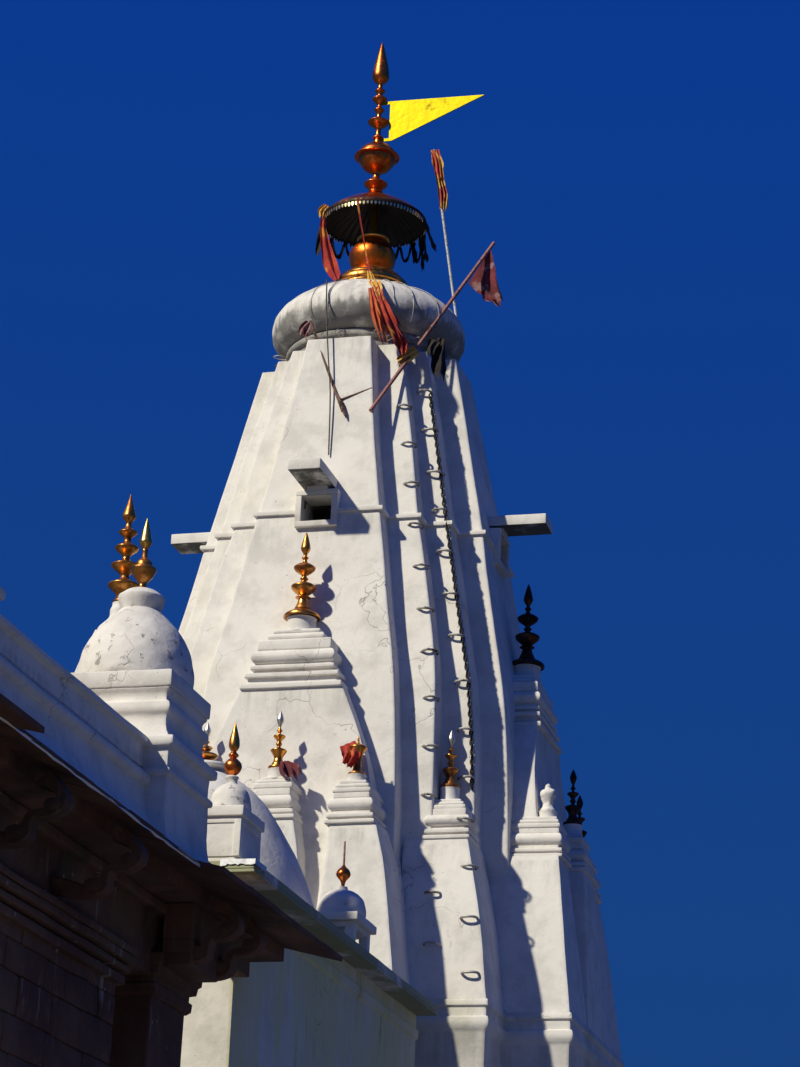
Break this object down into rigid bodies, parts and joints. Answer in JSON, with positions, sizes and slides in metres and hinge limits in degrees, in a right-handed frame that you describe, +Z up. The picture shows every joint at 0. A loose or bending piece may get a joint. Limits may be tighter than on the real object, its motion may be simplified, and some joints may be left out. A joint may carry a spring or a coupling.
{
  "type": "hindu temple",
  "caption": "Whitewashed temple with a tall curved stepped tower over the shrine, copper pot finials, a domed hall and an older stone porch hall on one plinth.",
  "frame": {"origin": "on the tower's axis at ground level, on the underside of the plinth", "axes": "+Z up, -Y from the tower through the halls to the entrance, +X to the right of a person who looks at the entrance"},
  "size_m": [8.26, 27.25, 22.505],
  "materials": {
    "whitewash": "limewashed plaster, hairline cracks and stains",
    "brown_stone": "weathered dressed stone",
    "aged_copper": "aged copper with gilt traces",
    "gilt_sheet": "yellow sheet metal",
    "iron_pole": "weathered iron and wood",
    "red_cloth": "faded cloth"
  },
  "bodies": {
    "root": {"shrine_wall_right": "whitewash", "shrine_wall_left": "whitewash", "shrine_wall_back": "whitewash", "shrine_front_left": "whitewash", "shrine_front_right": "whitewash", "shrine_door_lintel": "whitewash", "shrine_ceiling": "whitewash", "tower_side_front": "whitewash", "tower_side_right": "whitewash", "tower_side_back": "whitewash", "tower_side_left": "whitewash", "tower_top": "whitewash", "window_front": "whitewash", "half_spires_front": "whitewash", "corner_spire_front": "whitewash", "window_right": "whitewash", "half_spires_right": "whitewash", "corner_spire_right": "whitewash", "window_back": "whitewash", "half_spires_back": "whitewash", "corner_spire_back": "whitewash", "window_left": "whitewash", "half_spires_left": "whitewash", "corner_spire_left": "whitewash", "amalaka": "whitewash", "hall_wall_right": "whitewash", "hall_wall_left": "whitewash", "hall_front_right": "whitewash", "hall_front_left": "whitewash", "hall_door_lintel": "whitewash", "hall_roof": "whitewash", "hall_dome": "whitewash", "hall_slim_spire": "whitewash", "porch_parapet_right": "whitewash", "porch_parapet_left": "whitewash", "porch_parapet_front": "whitewash", "porch_pavilion_front_right": "whitewash", "porch_pavilion_front_left": "whitewash", "porch_pavilion_back_right": "whitewash", "porch_pavilion_back_left": "whitewash", "plinth": "brown_stone", "porch_side_right": "brown_stone", "porch_side_left": "brown_stone", "porch_beam_front": "brown_stone", "porch_beam_back": "brown_stone", "porch_roof": "brown_stone", "half_spire_finial_front": "aged_copper", "half_spire_finial_right": "aged_copper", "half_spire_finial_back": "aged_copper", "half_spire_finial_left": "aged_copper", "crown_pot": "aged_copper", "parasol": "aged_copper", "top_finial": "aged_copper", "pennant": "gilt_sheet", "flag_pole_tall": "iron_pole", "flag_pole_leaning": "iron_pole", "leaning_flag": "red_cloth"}
  },
  "joints": []
}
